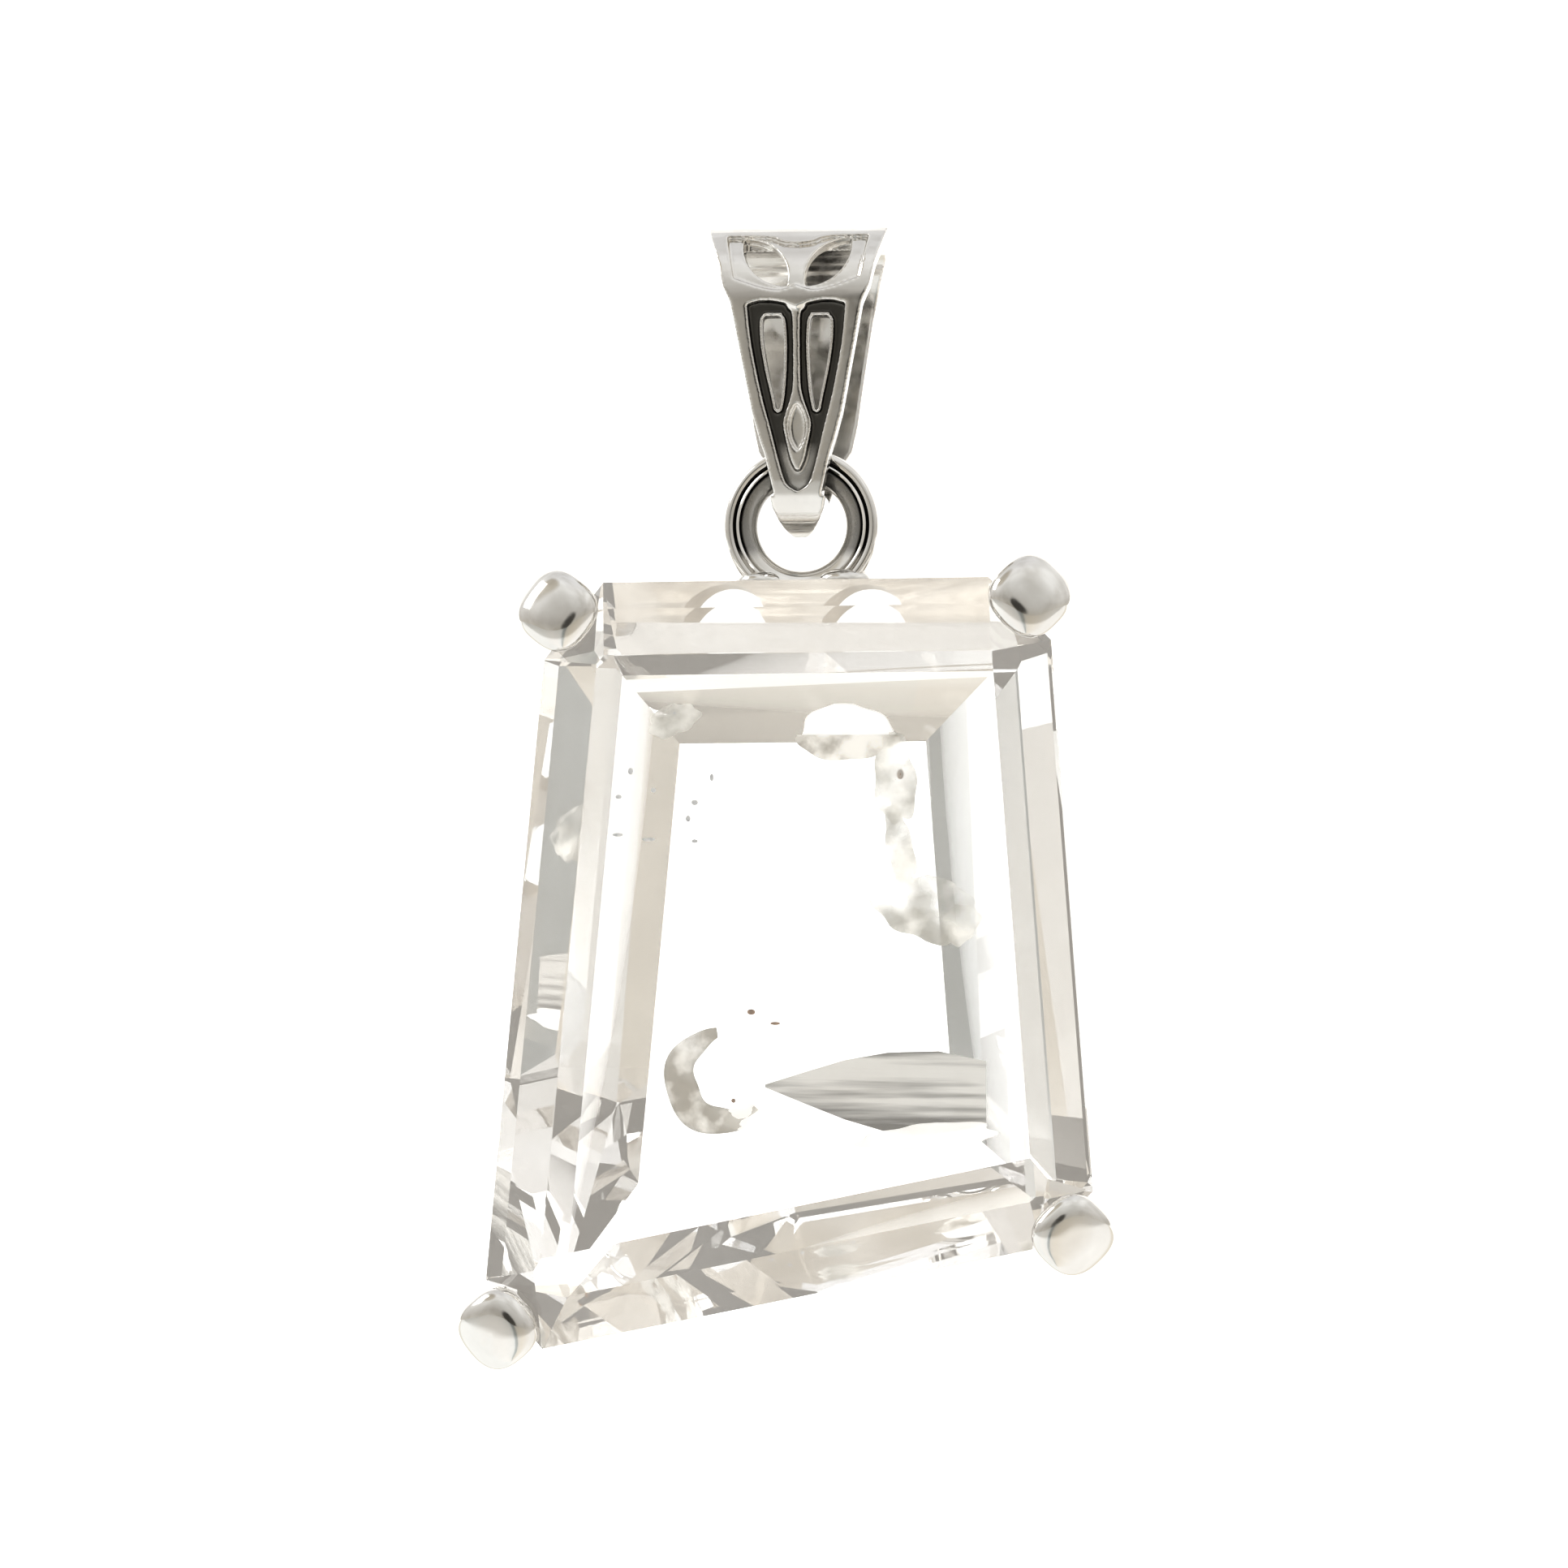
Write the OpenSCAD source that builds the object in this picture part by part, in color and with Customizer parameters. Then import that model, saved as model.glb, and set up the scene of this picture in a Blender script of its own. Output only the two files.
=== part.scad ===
// Pendant: a large tapered step-cut clear quartz in a pierced four-prong setting,
// hung by a soldered ring from a cast, pierced bail. Millimetres, +Z up, front is -Y.
// The origin is the top of the inside of the bail, where a chain runs along X.

/* [Stone] */
// Width of the top edge, before its corners are cut
stone_top_w = 16; // [14:0.5:18]
// Length of the left side, seen from the front
stone_left_h = 25.3; // [24:0.1:27]
// Length of the right side, seen from the front
stone_right_h = 21.1; // [20:0.1:23]
// How far the bottom left corner stands out past the top left one
stone_left_flare = 2.4; // [1.8:0.1:2.8]
// How far the bottom right corner stands out past the top right one
stone_right_flare = 1.6; // [1.2:0.1:2]
// Height of the crown, from the girdle to the table
crown_h = 1.1; // [1:0.05:1.2]
// Thickness of the girdle
girdle_h = 0.5; // [0.4:0.1:0.7]
// Depth of the first pavilion step, behind the girdle
first_step_h = 1.07; // [0.97:0.05:1.17]
// Depth of the second pavilion step
second_step_h = 1.71; // [1.66:0.05:1.76]
// Depth of the last pavilion step, in front of the flat back
last_step_h = 1.97; // [1.92:0.05:2.02]

/* [Setting] */
// Thickness of the gallery wall
wall_t = 0.8; // [0.7:0.05:1]
// Depth of the gallery wall, front to back
wall_h = 5; // [4.8:0.1:5.4]
// How much narrower the gallery is at its back, on each side
wall_taper = 0.9; // [0.8:0.05:1]
// Length of a pierced opening in the gallery
pierce_l = 3.3; // [2.8:0.1:3.5]
// Height of a pierced opening in the gallery
pierce_h = 2.1; // [1.8:0.1:2.3]
// Width of a prong's head
prong_w = 1.95; // [1.8:0.05:2.1]
// How far a prong's head stands in front of the girdle
prong_rise = 1.5; // [1.4:0.05:1.6]

/* [Ring] */
// Radius of the hole in the ring
ring_hole_r = 1.47; // [1.4:0.01:1.5]
// Thickness of the ring, from its hole to its rim
ring_t = 1.11; // [1:0.01:1.15]

/* [Bail] */
// Radius of the passage at the top of the bail
passage_r = 1.75; // [1.6:0.05:1.9]
// Thickness of the bail at the top, front and back
bail_t = 0.85; // [0.75:0.05:0.95]
// Depth of the darkened recess in the front of the bail
recess_d = 0.4; // [0.3:0.05:0.45]
// Depth of the panel with the two leaves
panel_d = 0.15; // [0.1:0.05:0.2]

/* [Hidden] */

$fn = 72;
// How far a cut runs past the surface that it goes through
past = 1;
// How deep a raised form is sunk into what carries it
sunk = 0.01;

// Clearance kept between the stone and the metal round it
seat_gap = 0.12;

// Bail: the inside is a slot between two half rounds, and the outside another
bail_top_z = -passage_r;
bend_z = -7.05;
bend_r = 1.25;
bail_bottom_z = -9.55;
bail_bottom_r = 2;
bail_front_y = -(passage_r + bail_t);
// More than the bail's depth on each side of its middle, and more than its width
side_y = passage_r + bail_t + 0.5;
across = 8;

// Ring: the drop swings on the middle of its wire, which is also the middle of the bend
swing_z = bend_z;
ring_z = swing_z - ring_hole_r - ring_t / 2;

// Stone: height of the top right corner, how much lower the top left one is, and the
// plane of the girdle's front edge, which puts the drop's weight below the swing's axis
stone_z = -10.9;
top_drop = 0.14;
girdle_y = -2.1;
table_y = girdle_y - crown_h;
girdle_back_y = girdle_y + girdle_h;
first_step_y = girdle_back_y + first_step_h;
second_step_y = first_step_y + second_step_h;
back_y = second_step_y + last_step_h;
// How far the edges between the facets lie inside the girdle, seen from the front, at
// the stone's four sides: [top, right, bottom, left]
TABLE_INSETS = [2.4, 1.9, 3, 1.9];
FIRST_STEP_INSETS = [1.12, 0.48, 0.67, 0.75];
SECOND_STEP_INSETS = [2.95, 1.93, 1.75, 2.35];
BACK_INSETS = [5.2, 4.35, 4.3, 4.3];
// At a cut corner they are this share of the mean of its two neighbours
corner_share = 0.75;
// Longer than the whole drop
far = 60;

// Uncut corners of the girdle, clockwise from the top left, and how much of the side
// before and of the side after each is cut away: [x, z, before, after]
CORNERS = [
    [-stone_top_w / 2, stone_z - top_drop, 2.5, 1.7],
    [stone_top_w / 2, stone_z, 1.85, 2.05],
    [stone_top_w / 2 + stone_right_flare, stone_z - stone_right_h, 1.45, 2.1],
    [-stone_top_w / 2 - stone_left_flare, stone_z - top_drop - stone_left_h, 2.15, 2.7]
];

function unit(v) = v / norm(v);
function corner(i) = [CORNERS[i % 4][0], CORNERS[i % 4][1]];

// The girdle's eight points, two at each corner
GIRDLE = [
    for (i = [0:3], side = [0, 1])
        side == 0
            ? corner(i) + unit(corner(i + 3) - corner(i)) * CORNERS[i][2]
            : corner(i) + unit(corner(i + 1) - corner(i)) * CORNERS[i][3]
];

// Edge i runs from girdle point i to point i + 1: even edges are the cut corners
function girdle_point(i) = GIRDLE[(i + 8) % 8];
function along(i) = unit(girdle_point(i + 1) - girdle_point(i));
function inward(i) = [along(i)[1], -along(i)[0]];
function edge_inset(i, sides) =
    i % 2 == 1
        ? sides[(i - 1) / 2]
        : corner_share * (sides[(i / 2 + 3) % 4] + sides[i / 2]) / 2;
// The same inset at all four sides
function even(d) = [d, d, d, d];

function at_depth(p, y) = [p[0], y, p[1]];

// Turns X to a direction of the front view and keeps Y
module facing(direction) {
    rotate([0, atan2(-direction[1], direction[0]), 0]) children();
}

// Solid through a stack of eight-sided outlines, front to back: rows of [y, insets of
// the four sides]. Each edge of the outline has a long prism with the rows as its profile.
module tiers(rows) {
    last = len(rows) - 1;
    intersection_for (i = [0:7]) {
        profile = concat(
            [for (row = rows) [edge_inset(i, row[1]), row[0]]],
            [[far, rows[last][0]], [far, rows[0][0]]]
        );
        translate(at_depth(girdle_point(i), 0))
            facing(inward(i))
                linear_extrude(height = 2 * far, center = true) polygon(profile);
    }
}

// Table, crown, girdle, three pavilion steps and flat back, grown on all sides by g
module stone_form(g) {
    tiers([
        [table_y - g, TABLE_INSETS - even(g)],
        [girdle_y, even(-g)],
        [girdle_back_y, even(-g)],
        [first_step_y, FIRST_STEP_INSETS - even(g)],
        [second_step_y, SECOND_STEP_INSETS - even(g)],
        [back_y + g, BACK_INSETS - even(g)]
    ]);
}

// Gallery wall: how far behind the girdle's front edge it starts, and its outer inset there
wall_start = 0.3;
wall_front_y = girdle_y + wall_start;
wall_back_y = wall_front_y + wall_h;
wall_inset = 0.15;
// Width of the two rails, and how far they stand proud of the wall
rail_h = 0.75;
rail_proud = 0.12;
// How far the middle of the openings lies behind the middle of the wall
pierce_back = 0.47;
pierce_y = (wall_front_y + wall_back_y) / 2 + pierce_back;

// Pairs of openings: [edge, distance between the two, shift along the edge]
PIERCED = [
    [1, 7, 0],
    [3, 4, 0.9],
    [5, 5.35, 0.5],
    [7, 4.7, -1.1]
];

function wall_edge(y) = even(wall_inset + (y - wall_front_y) * wall_taper / wall_h);

// Tapered wall with a rail that stands proud round its front and its back
module gallery() {
    rail_end_y = wall_front_y + rail_h;
    rail_start_y = wall_back_y - rail_h;
    difference() {
        tiers([
            [wall_front_y, wall_edge(wall_front_y) - even(rail_proud)],
            [rail_end_y, wall_edge(rail_end_y) - even(rail_proud)],
            [rail_end_y + rail_proud, wall_edge(rail_end_y + rail_proud)],
            [rail_start_y - rail_proud, wall_edge(rail_start_y - rail_proud)],
            [rail_start_y, wall_edge(rail_start_y) - even(rail_proud)],
            [wall_back_y, wall_edge(wall_back_y) - even(rail_proud)]
        ]);
        tiers([
            [wall_front_y - past, wall_edge(wall_front_y - past) + even(wall_t)],
            [wall_back_y + past, wall_edge(wall_back_y + past) + even(wall_t)]
        ]);
    }
}

// Pointed oval prism along Y, with its length along X
module marquise(l, h, depth) {
    r = (l * l + h * h) / (4 * h);
    intersection() {
        translate([0, 0, r - h / 2]) rotate([90, 0, 0]) cylinder(r = r, h = depth, center = true);
        translate([0, 0, h / 2 - r]) rotate([90, 0, 0]) cylinder(r = r, h = depth, center = true);
    }
}

module openings() {
    for (row = PIERCED, side = [-0.5, 0.5]) {
        mid = (girdle_point(row[0]) + girdle_point(row[0] + 1)) / 2;
        place = mid + along(row[0]) * (row[2] + side * row[1]);
        turn = atan2(along(row[0])[1], along(row[0])[0]);
        translate(at_depth(place, pierce_y))
            rotate([0, -turn, 0])
                rotate([90, 0, 0])
                    marquise(pierce_l, pierce_h, 4 * wall_t + 4 * wall_taper);
    }
}

// Prong behind the head: [distance behind the girdle, inner side, outer side, half width],
// with the sides measured outward from the cut corner
SHANK = [
    [-0.6, -0.45, 1.42, 1.02],
    [0.5, -0.45, 1.42, 1.16],
    [1.8, -0.60, 1.15, 1.08],
    [3.6, -0.95, 0.62, 0.92],
    [wall_back_y - girdle_y, -1.20, 0.20, 0.80]
];
// Middle of the head, outward from the cut corner, and the rounding of its four corners
head_out = 0.5;
head_round = 0.5;
// Radius of the dome on the head
dome_r = 2.2;

// Square outline whose corners are round, with some steps round each corner
round_steps = 5;
function rounded_square(w, r) = [
    for (q = [0:3], k = [0:round_steps])
        let (turn = 90 * q, a = turn + 90 * k / round_steps)
        [cos(turn) - sin(turn), sin(turn) + cos(turn)] * (w / 2 - r) + r * [cos(a), sin(a)]
];

// Prong at cut corner i, along the corner's bisector
module prong(i) {
    mid = (girdle_point(2 * i) + girdle_point(2 * i + 1)) / 2;
    head_y = girdle_y - prong_rise;
    translate(at_depth(mid, 0))
        facing(-inward(2 * i)) {
            intersection() {
                translate([head_out, wall_front_y, 0])
                    rotate([90, 0, 0])
                        linear_extrude(height = wall_front_y - head_y)
                            polygon(rounded_square(prong_w, head_round));
                translate([head_out, head_y + dome_r, 0]) sphere(r = dome_r);
            }
            intersection() {
                linear_extrude(height = 2 * prong_w, center = true)
                    polygon(concat(
                        [for (row = SHANK) [row[1], girdle_y + row[0]]],
                        reversed([for (row = SHANK) [row[2], girdle_y + row[0]]])
                    ));
                rotate([0, 90, 0])
                    linear_extrude(height = 3 * prong_w, center = true)
                        polygon(concat(
                            [for (row = SHANK) [-row[3], girdle_y + row[0]]],
                            reversed([for (row = SHANK) [row[3], girdle_y + row[0]]])
                        ));
            }
        }
}

// Half of the ring's section: [share of the thickness from the hole, half depth].
// Two grooves run round it, on each side of a narrow ridge.
RING_SECTION = [
    [0, 0.14],
    [0.08, 0.32],
    [0.25, 0.44],
    [0.41, 0.50],
    [0.46, 0.42],
    [0.51, 0.55],
    [0.58, 0.55],
    [0.63, 0.42],
    [0.69, 0.55],
    [0.80, 0.60],
    [0.91, 0.52],
    [0.98, 0.34],
    [1, 0.14]
];

module loop_ring() {
    last = len(RING_SECTION) - 1;
    outline = concat(
        [for (row = RING_SECTION) [ring_hole_r + ring_t * row[0], row[1]]],
        [for (k = [0:last]) [
            ring_hole_r + ring_t * RING_SECTION[last - k][0],
            -RING_SECTION[last - k][1]
        ]]
    );
    translate([0, 0, ring_z])
        rotate([90, 0, 0])
            rotate_extrude() polygon(outline);
}

// Low mound of solder that joins the ring to the top of the gallery: an arc seen from
// the front, with its top just below the ring's hole
solder_r = 5;
solder_top_z = ring_z - ring_hole_r - 0.12;
solder_h = 1.2;
solder_w = 4.3;
solder_d = 1.5;

module solder() {
    intersection() {
        translate([0, 0, solder_top_z - solder_r])
            rotate([90, 0, 0]) cylinder(r = solder_r, h = solder_d, center = true);
        translate([-solder_w / 2, -solder_d, solder_top_z - solder_h])
            cube([solder_w, 2 * solder_d, solder_h]);
    }
}

module setting() {
    color("silver")
        difference() {
            union() {
                difference() {
                    gallery();
                    openings();
                }
                for (i = [0:3]) prong(i);
                loop_ring();
                solder();
            }
            stone_form(seat_gap);
        }
}

module stone() {
    color([0.93, 0.93, 0.92, 0.5]) stone_form(0);
}

// Half widths of the bail in the front view: [z, half width]
BAIL_SIDES = [
    [1.3, 3.08],
    [0.5, 2.93],
    [-0.8, 2.52],
    [-2.1, 2.24],
    [-4.3, 1.92],
    [-5.6, 1.75],
    [-6.5, 1.56],
    [-7.2, 1.10],
    [-8.0, 0.95],
    [-8.6, 0.84],
    [-9.0, 0.66],
    [-9.3, 0.46],
    [-9.5, 0.22],
    [-9.6, 0.10]
];
// The front strap is narrower than the back one, between the first and the last row
FRONT_SIDES = [
    [-0.9, 4],
    [-0.9, 2.65],
    [-2.1, 2.12],
    [-4.3, 1.70],
    [-5.6, 1.45],
    [-6.5, 1.20],
    [-6.9, 1.06],
    [-7.9, 0.83],
    [-8.22, 0.76],
    [-8.3, 1.2],
    [-8.3, 4]
];
// The plane inside the hollow where the front strap ends, and the end of the cuts in it
front_strap_y = -0.2;
relief_end_y = -0.9;

// Front-view shapes of the relief, each side of the middle
RECESS_TOP = [
    [0, -2.28],
    [0.35, -2.13],
    [0.8, -2.04],
    [1.2, -2.04]
];
RECESS_SIDE = [
    [1.58, -2.14],
    [1.45, -3.4],
    [1.14, -5.0],
    [0.85, -6.1],
    [0.58, -7.2],
    [0.36, -7.85],
    [0, -8.1]
];
PANEL_TOP = [
    [0, -0.1],
    [0.5, -0.02],
    [0.95, 0.16],
    [2.3, 0.2]
];
PANEL_LOW = [
    [2.02, -1.3],
    [1.25, -1.58],
    [0.7, -1.70],
    [0.35, -1.67],
    [0, -1.54]
];
// Petal: [z, inner edge, outer edge]
PETAL = [
    [-2.5, 0.55, 0.98],
    [-2.62, 0.45, 1.09],
    [-3.3, 0.40, 1.08],
    [-4.2, 0.42, 0.94],
    [-5.0, 0.49, 0.76],
    [-5.5, 0.59, 0.66]
];
// Spine, which swells to a lozenge: [z, half width]
SPINE = [
    [-2.0, 0.42],
    [-2.3, 0.26],
    [-2.55, 0.13],
    [-4.4, 0.12],
    [-5.0, 0.18],
    [-5.5, 0.34],
    [-5.95, 0.46],
    [-6.6, 0.34],
    [-7.1, 0.22],
    [-7.42, 0.06]
];
// Leaf: its two tips and its width
leaf_tip_out = [1.72, 0.11];
leaf_tip_in = [0.29, -1.56];
leaf_w = 1.05;
// Almond-shaped facet sunk in the lozenge of the spine
almond_l = 1.55;
almond_w = 0.56;
almond_z = -6.05;
almond_d = 0.14;
// Rim round each petal, and how far the rims and the spine lie below the front
rim_w = 0.10;
rim_drop = 0.15;
spine_drop = 0.06;
// Points that a smooth edge gets between two rows
smooth = 3;

// Smooth curve through the rows, with some points between each two
function between(a, b, c, d, t) =
    0.5 * (2 * b + (c - a) * t + (2 * a - 5 * b + 4 * c - d) * t * t
        + (3 * b - a - 3 * c + d) * t * t * t);
function curve(rows) =
    let (last = len(rows) - 1)
    concat(
        [
            for (k = [0:last - 1], s = [0:smooth - 1])
                between(rows[max(k - 1, 0)], rows[k], rows[k + 1], rows[min(k + 2, last)], s / smooth)
        ],
        [rows[last]]
    );
function reversed(list) = [for (k = [len(list) - 1:-1:0]) list[k]];
function flipped(list) = [for (p = list) [-p[0], p[1]]];
// A shape that is the same on both sides, from its right half
function both_sides(half) = concat(half, flipped(reversed(half)));
function as_half(rows) = [for (row = rows) [row[1], row[0]]];

// Slab from y0 to y1 whose front view is the polygon
module front_slab(outline, y0, y1) {
    translate([0, y1, 0])
        rotate([90, 0, 0])
            linear_extrude(height = y1 - y0) polygon(outline);
}

// Upright slot with round ends: two circles and the tangents between them
module slot_shape(z1, r1, z2, r2) {
    lean = asin((r1 - r2) / (z1 - z2));
    a = [r1 * cos(lean), z1 - r1 * sin(lean)];
    b = [r2 * cos(lean), z2 - r2 * sin(lean)];
    translate([0, z1]) circle(r = r1);
    translate([0, z2]) circle(r = r2);
    polygon([a, [-a[0], a[1]], [-b[0], b[1]], b]);
}

// Slab right across the bail, from a shape seen from the side
module side_slab() {
    translate([-across / 2, 0, 0]) rotate([90, 0, 90]) linear_extrude(height = across) children();
}

// Outside of the bail, less a skin of the given depth
module bail_bulk(skin) {
    side_slab()
        slot_shape(
            bail_top_z, passage_r + bail_t - skin,
            bail_bottom_z + bail_bottom_r, bail_bottom_r - skin
        );
}

// Outside of the bail with its flared sides
module bail_body() {
    difference() {
        intersection() {
            bail_bulk(0);
            front_slab(both_sides(as_half(BAIL_SIDES)), -side_y, side_y);
        }
        for (side = [-1, 1])
            front_slab([for (row = FRONT_SIDES) [side * row[1], row[0]]], -side_y, front_strap_y);
    }
}

// The front view of a relief, down to the given depth below the front surface
module relief(outline, depth) {
    difference() {
        front_slab(outline, bail_front_y - past, relief_end_y);
        bail_bulk(depth);
    }
}

// Petal on the right (1) or on the left (-1), grown by g
function petal(side, g) =
    let (
        last = len(PETAL) - 1,
        rows = [for (row = PETAL) [row[1] - g, row[2] + g, row[0]]],
        tip_z = rows[last][2] - g,
        right = concat(
            [[rows[0][0], rows[0][2] + g]],
            curve([for (row = rows) [row[0], row[2]]]),
            [[(rows[last][0] + rows[last][1]) / 2, tip_z]],
            reversed(curve([for (row = rows) [row[1], row[2]]])),
            [[rows[0][1], rows[0][2] + g]]
        )
    )
    [for (p = right) [side * p[0], p[1]]];

// Relief that stands up from the floor of the recess, to the given depth below the front
module raised(outline, drop) {
    intersection() {
        relief(recess_outline, recess_d + sunk);
        bail_bulk(drop);
        front_slab(outline, bail_front_y - past, relief_end_y);
    }
}

recess_outline = both_sides(concat(curve(RECESS_TOP), curve(RECESS_SIDE)));
panel_outline = both_sides(concat(curve(PANEL_TOP), curve(PANEL_LOW)));
spine_outline = both_sides(as_half(curve(SPINE)));

// Through cut in the shape of a leaf, on the right (1) or on the left (-1)
module leaf(side) {
    tip_a = [side * leaf_tip_out[0], leaf_tip_out[1]];
    tip_b = [side * leaf_tip_in[0], leaf_tip_in[1]];
    mid = (tip_a + tip_b) / 2;
    lie = atan2(tip_a[1] - tip_b[1], tip_a[0] - tip_b[0]);
    translate([mid[0], bail_front_y, mid[1]])
        rotate([0, -lie, 0])
            marquise(norm(tip_a - tip_b), leaf_w, 2 * (bail_t + past));
}

module petal_hole(side) {
    front_slab(petal(side, 0), bail_front_y - past, relief_end_y);
}

module bail() {
    color("gainsboro")
        difference() {
            union() {
                difference() {
                    bail_body();
                    relief(recess_outline, recess_d);
                    relief(panel_outline, panel_d);
                }
                raised(spine_outline, spine_drop);
                for (side = [-1, 1]) raised(petal(side, rim_w), rim_drop);
            }
            side_slab() slot_shape(bail_top_z, passage_r, bend_z, bend_r);
            for (side = [-1, 1]) {
                leaf(side);
                petal_hole(side);
            }
            intersection() {
                translate([0, bail_front_y, almond_z])
                    rotate([0, 90, 0]) marquise(almond_l, almond_w, 2 * past);
                relief(recess_outline, spine_drop + almond_d);
            }
        }
}

bail();
setting();
stone();
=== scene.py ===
import math

import bmesh
import bpy
import numpy as np
from mathutils import Euler, Matrix, Vector


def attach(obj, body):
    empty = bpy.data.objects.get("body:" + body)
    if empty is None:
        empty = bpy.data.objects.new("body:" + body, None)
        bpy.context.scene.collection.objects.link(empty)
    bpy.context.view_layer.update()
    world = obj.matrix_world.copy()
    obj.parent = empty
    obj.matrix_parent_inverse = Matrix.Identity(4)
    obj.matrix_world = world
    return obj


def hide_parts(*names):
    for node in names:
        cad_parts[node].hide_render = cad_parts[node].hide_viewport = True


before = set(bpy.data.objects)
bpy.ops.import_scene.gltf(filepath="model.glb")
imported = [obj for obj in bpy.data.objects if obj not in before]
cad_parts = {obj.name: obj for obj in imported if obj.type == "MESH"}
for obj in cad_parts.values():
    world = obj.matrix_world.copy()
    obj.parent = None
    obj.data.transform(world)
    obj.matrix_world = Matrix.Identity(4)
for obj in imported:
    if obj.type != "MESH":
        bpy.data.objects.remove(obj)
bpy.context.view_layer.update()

MM = 0.001
# Points that lie closer together than this are one, mm
SAME_POINT = 1e-5
# Faces that meet at more than this keep a crisp line between them, degrees
SHARP_ANGLE = 35

# Camera: the point it looks at and its distance from there in metres, its azimuth from
# the front in degrees, the frame and the focal length in pixels, and the sensor in mm
VIEW_TARGET = Vector((-0.47, -1.5, -17.55)) * MM
VIEW_DISTANCE = 95 * MM
VIEW_AZIMUTH = 5.0
FRAME_PIXELS = 1932
FOCAL_PIXELS = 3610
SENSOR_WIDTH = 36
# Nothing nearer to the camera than this is drawn, metres
NEAREST = 0.005

# Stone: uncut corners of the girdle in the front view, clockwise from the top left,
# and how much of the side before and after each is cut away: [x, z, before, after], mm
CORNERS = (
    (-8.0, -11.04, 2.5, 1.7),
    (8.0, -10.9, 1.85, 2.05),
    (9.6, -32.0, 1.45, 2.1),
    (-10.4, -36.34, 2.15, 2.7),
)
# A cut corner moves in by this share of what its two sides move in
CORNER_SHARE = 0.75
GIRDLE_Y = -2.1
# Edges between its facets, front to back: [y, how far they lie inside the girdle at the
# top, right, bottom and left], mm
STONE_ROWS = (
    (-3.2, 2.4, 1.9, 3, 1.9),
    (-2.1, 0, 0, 0, 0),
    (-1.6, 0, 0, 0, 0),
    (-0.53, 1.12, 0.48, 0.67, 0.75),
    (1.18, 2.95, 1.93, 1.75, 2.35),
    (3.15, 5.2, 4.35, 4.3, 4.3),
)
# How far the metal is cut back from the stone that it holds
SEAT_GAP = 0.12
# Side of the block that the cutter for it is made from, about the origin
BLOCK = 120

# Gallery: a wall that starts behind the girdle and leans in towards the back
WALL_FRONT_Y = GIRDLE_Y + 0.3
WALL_DEPTH = 5.0
WALL_INSET = 0.15
WALL_TAPER = 0.9
# Its cross-section round the outside and back along the inside:
# [y from its front, inset from its outer face]
WALL_SECTION = (
    (0.0, -0.03), (0.09, -0.10), (0.2, -0.12), (0.6, -0.12), (0.72, -0.08), (0.82, 0.0),
    (4.18, 0.0), (4.28, -0.08), (4.4, -0.12), (4.85, -0.12), (4.95, -0.08), (5.0, 0.0),
    (5.0, 0.7), (4.92, 0.8), (0.08, 0.8), (0.0, 0.7),
)
WALL_EDGE = 0.06
# Pointed oval openings, a little behind the middle of the wall
PIERCE_LENGTH = 3.3
PIERCE_HEIGHT = 2.1
PIERCE_Y = WALL_FRONT_Y + WALL_DEPTH / 2 + 0.47
# Pairs of them: [edge, distance between the two, shift along the edge]
PIERCED = ((1, 7, 0), (3, 4, 0.9), (5, 5.35, 0.5), (7, 4.7, -1.1))
# Where their cutter starts and ends, inward from the girdle
CUTTER_SIDES = (-1.2, 3.4)

# Ring: the height of the hinge, the radius of the hole and the thickness of the metal
SWING_Z = -7.05
HOLE_R = 1.47
RING_T = 1.11
RING_Z = SWING_Z - HOLE_R - RING_T / 2

# Bail: the round ends of its outline seen from the side: [z, radius]
BAIL_TOP = (-1.75, 2.6)
BAIL_BOTTOM = (-7.55, 2.0)


def make_object(name, verts, faces, smooth=True):
    """Closed mesh from points in millimetres; it stays in millimetres until place()."""
    mesh = bpy.data.meshes.new(name)
    mesh.from_pydata([tuple(v) for v in verts], [], faces)
    obj = bpy.data.objects.new(name, mesh)
    bpy.context.scene.collection.objects.link(obj)
    tidy = bmesh.new()
    tidy.from_mesh(mesh)
    bmesh.ops.remove_doubles(tidy, verts=tidy.verts, dist=SAME_POINT)
    bmesh.ops.recalc_face_normals(tidy, faces=tidy.faces)
    tidy.to_mesh(mesh)
    tidy.free()
    for polygon in mesh.polygons:
        polygon.use_smooth = smooth
    return obj


def apply_modifiers(obj):
    """Replaces the object's mesh with what its modifiers make of it."""
    graph = bpy.context.evaluated_depsgraph_get()
    done = bpy.data.meshes.new_from_object(obj.evaluated_get(graph))
    old = obj.data
    obj.modifiers.clear()
    obj.data = done
    bpy.data.meshes.remove(old)


def place(obj, body, slot, material, *nodes):
    """Scales a piece from millimetres to metres, dresses it and joins it to its body."""
    obj.data.transform(Matrix.Scale(MM, 4))
    obj.data.materials.clear()
    obj.data.materials.append(material)
    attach(obj, body)
    if nodes:
        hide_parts(*nodes)


def cut_away(obj, cutter):
    """Takes the cutter's shape out of the object, and discards the cutter."""
    modifier = obj.modifiers.new("cut", "BOOLEAN")
    modifier.operation = "DIFFERENCE"
    modifier.solver = "MANIFOLD"
    modifier.object = cutter
    apply_modifiers(obj)
    mesh = cutter.data
    bpy.data.objects.remove(cutter)
    bpy.data.meshes.remove(mesh)


def soften(obj, width):
    """Small rounded edge wherever two faces meet sharply."""
    bevel = obj.modifiers.new("soften", "BEVEL")
    bevel.width = width
    bevel.segments = 2
    bevel.limit_method = "ANGLE"
    bevel.angle_limit = math.radians(SHARP_ANGLE)
    apply_modifiers(obj)


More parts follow.
